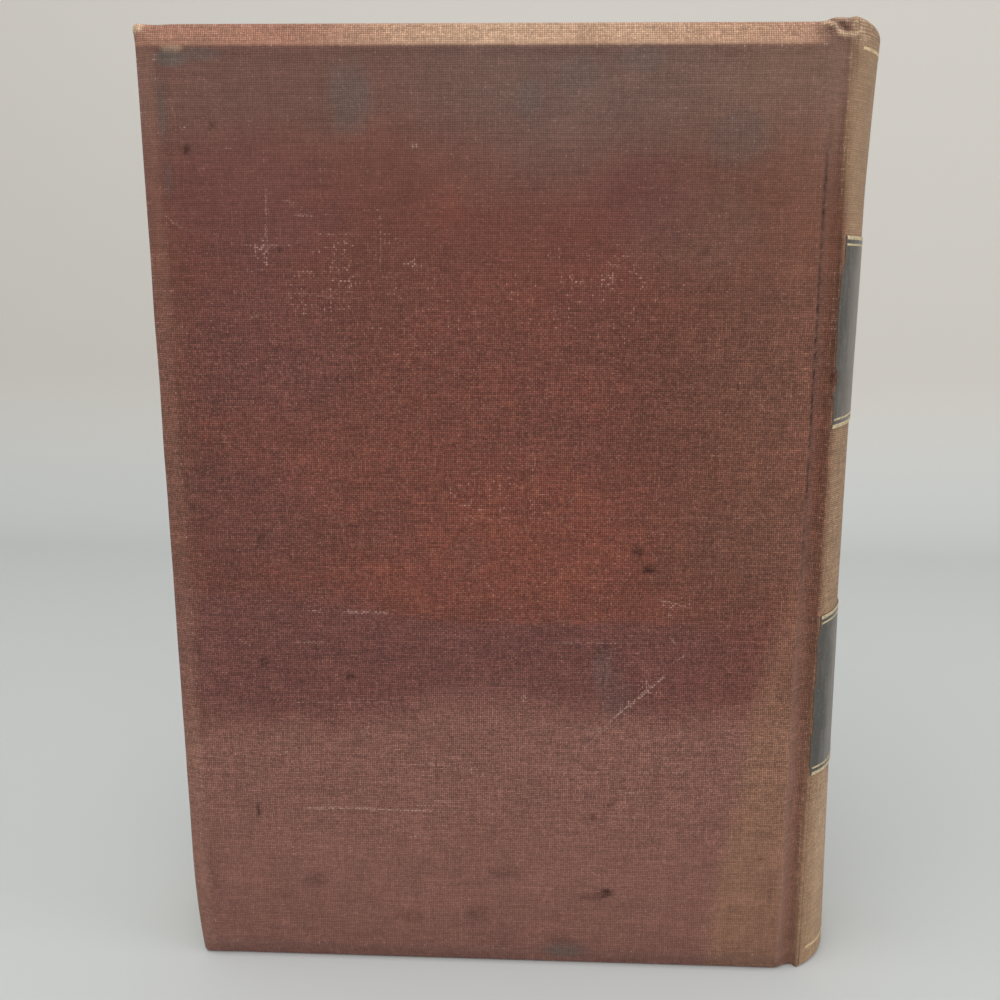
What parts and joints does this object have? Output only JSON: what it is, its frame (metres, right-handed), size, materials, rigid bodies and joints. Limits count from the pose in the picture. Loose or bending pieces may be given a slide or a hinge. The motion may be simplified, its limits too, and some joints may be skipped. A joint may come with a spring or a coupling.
{
  "type": "hardback book",
  "caption": "Old cloth-bound hardback with bevelled boards, a rounded spine and two bare leather labels. Both covers open on their joints.",
  "frame": {"origin": "on the surface it stands on, under the middle of the closed book", "axes": "+Z from tail to head, +X from fore-edge to spine, +Y from the back cover to the front cover"},
  "size_m": [0.1738, 0.037, 0.241],
  "materials": {
    "page_paper": "matte",
    "mull": "matte",
    "lining_paper": "matte",
    "band_silk": "satin",
    "board": "matte",
    "faded_cloth": "matte",
    "label_leather": "satin",
    "gilt": "satin",
    "endpaper": "matte",
    "cover_cloth": "matte"
  },
  "bodies": {
    "book_block": {"text_block": "page_paper", "spine_mull": "mull", "spine_lining": "lining_paper", "headband": "band_silk", "tailband": "band_silk", "spine_inlay": "board", "spine_cloth": "faded_cloth", "upper_label": "label_leather", "lower_label": "label_leather", "upper_label_rules": "gilt", "lower_label_rules": "gilt", "spine_gilt_lines": "gilt", "back_flyleaf": "endpaper", "front_flyleaf": "endpaper"},
    "back_cover": {"back_board": "board", "back_cover_cloth": "cover_cloth", "back_pastedown": "endpaper", "back_mull_flap": "mull"},
    "front_cover": {"front_board": "board", "front_cover_cloth": "cover_cloth", "front_pastedown": "endpaper", "front_mull_flap": "mull"}
  },
  "joints": [
    {"name": "back_cover_hinge", "type": "hinge", "parent": "book_block", "child": "back_cover", "pos_m": [0.07628, -0.0146, 0], "axis": [0, 0, 1], "range_deg": [0, 120]},
    {"name": "front_cover_hinge", "type": "hinge", "parent": "book_block", "child": "front_cover", "pos_m": [0.07628, 0.0146, 0], "axis": [0, 0, -1], "range_deg": [0, 120]}
  ]
}
